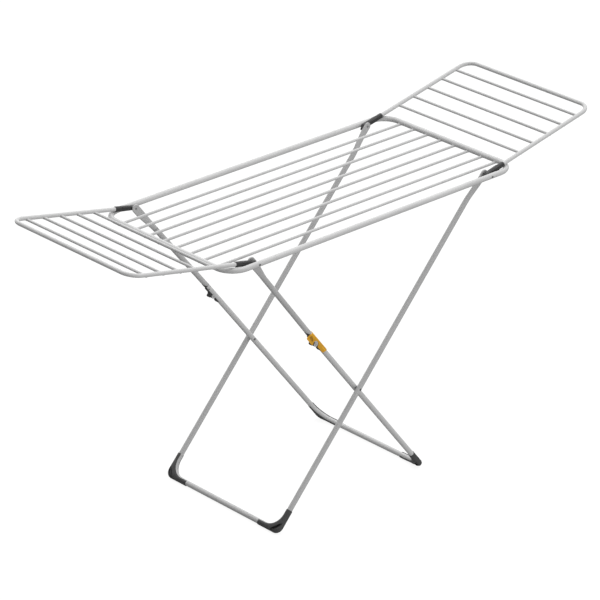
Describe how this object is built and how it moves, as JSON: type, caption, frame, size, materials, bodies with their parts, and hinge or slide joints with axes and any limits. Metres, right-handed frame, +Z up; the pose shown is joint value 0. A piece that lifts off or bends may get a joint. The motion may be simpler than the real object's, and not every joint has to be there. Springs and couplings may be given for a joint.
{
  "type": "clothes drying rack",
  "caption": "Folding clothes drying rack: wired top frame on crossed leg frames, with folding wings, hinged leg elbows and a sliding elbow lock.",
  "frame": {"origin": "on the floor, at the middle of the open rack's outline", "axes": "+Z up, +X along the rack from the elbow side to the outer leg's pivots, +Y across the rack"},
  "size_m": [1.7758, 0.5565, 0.9837],
  "materials": {
    "frame_paint": "satin light grey powder coat",
    "wire_paint": "satin light grey coating",
    "dark_plastic": "matte moulded dark grey",
    "yellow_plastic": "matte moulded yellow",
    "rivet_steel": "plated",
    "washer_plastic": "natural nylon"
  },
  "bodies": {
    "top_frame": {"main_frame_tube": "frame_paint", "main_wire_1": "wire_paint", "main_wire_2": "wire_paint", "main_wire_3": "wire_paint", "main_wire_4": "wire_paint", "main_wire_5": "wire_paint", "main_wire_6": "wire_paint", "main_wire_7": "wire_paint", "main_wire_8": "wire_paint", "pivot_rivet_left_near": "rivet_steel", "pivot_rivet_left_far": "rivet_steel", "pivot_rivet_right_near": "rivet_steel", "pivot_rivet_right_far": "rivet_steel"},
    "wing_left": {"wing_left_tube": "frame_paint", "wing_left_wire_1": "wire_paint", "wing_left_wire_2": "wire_paint", "wing_left_wire_3": "wire_paint", "wing_left_wire_4": "wire_paint", "wing_left_wire_5": "wire_paint", "hinge_clip_left_near": "dark_plastic", "hinge_clip_left_far": "dark_plastic"},
    "wing_right": {"wing_right_tube": "frame_paint", "wing_right_wire_1": "wire_paint", "wing_right_wire_2": "wire_paint", "wing_right_wire_3": "wire_paint", "wing_right_wire_4": "wire_paint", "wing_right_wire_5": "wire_paint", "hinge_clip_right_near": "dark_plastic", "hinge_clip_right_far": "dark_plastic"},
    "leg_outer": {"leg_outer_tube": "frame_paint", "foot_cap_outer_near": "dark_plastic", "crossing_rivet_outer_near": "rivet_steel", "crossing_washer_near": "washer_plastic", "foot_cap_outer_far": "dark_plastic", "crossing_rivet_outer_far": "rivet_steel", "crossing_washer_far": "washer_plastic"},
    "leg_inner": {"leg_inner_tube": "frame_paint", "foot_cap_inner_near": "dark_plastic", "crossing_rivet_inner_near": "rivet_steel", "elbow_base_near": "dark_plastic", "elbow_pin_near": "rivet_steel", "foot_cap_inner_far": "dark_plastic", "crossing_rivet_inner_far": "rivet_steel", "elbow_base_far": "dark_plastic", "elbow_pin_far": "rivet_steel"},
    "upper_links": {"upper_link_near": "frame_paint", "elbow_plug_near": "dark_plastic", "upper_link_far": "frame_paint", "elbow_plug_far": "dark_plastic"},
    "lock": {"lock_slider": "yellow_plastic"}
  },
  "joints": [
    {"name": "leg_fold", "type": "hinge", "parent": "top_frame", "child": "leg_outer", "pos_m": [0.4493, 0, 0.8864], "axis": [0, 1, 0], "range_deg": [0, 43]},
    {"name": "link_fold", "type": "hinge", "parent": "top_frame", "child": "upper_links", "pos_m": [-0.4493, 0, 0.8864], "axis": [0, -1, 0], "range_deg": [0, 48.1]},
    {"name": "elbow_fold", "type": "hinge", "parent": "upper_links", "child": "leg_inner", "pos_m": [-0.19178, 0, 0.54318], "axis": [0, 1, 0], "range_deg": [0, 173.2]},
    {"name": "wing_left_fold", "type": "hinge", "parent": "top_frame", "child": "wing_left", "pos_m": [-0.4493, 0, 0.8864], "axis": [0, 1, 0], "range_deg": [0, 167.4]},
    {"name": "wing_right_fold", "type": "hinge", "parent": "top_frame", "child": "wing_right", "pos_m": [0.4493, 0, 0.8864], "axis": [0, -1, 0], "range_deg": [0, 167.4]},
    {"name": "lock_slide", "type": "slide", "parent": "leg_inner", "child": "lock", "axis": [0.6161, 0, -0.7877], "range_m": [0, 0.025]}
  ],
  "couplings": [
    {"joint": "link_fold", "follows": "leg_fold", "ratio": 1.1184},
    {"joint": "elbow_fold", "follows": "leg_fold", "ratio": 4.027}
  ]
}
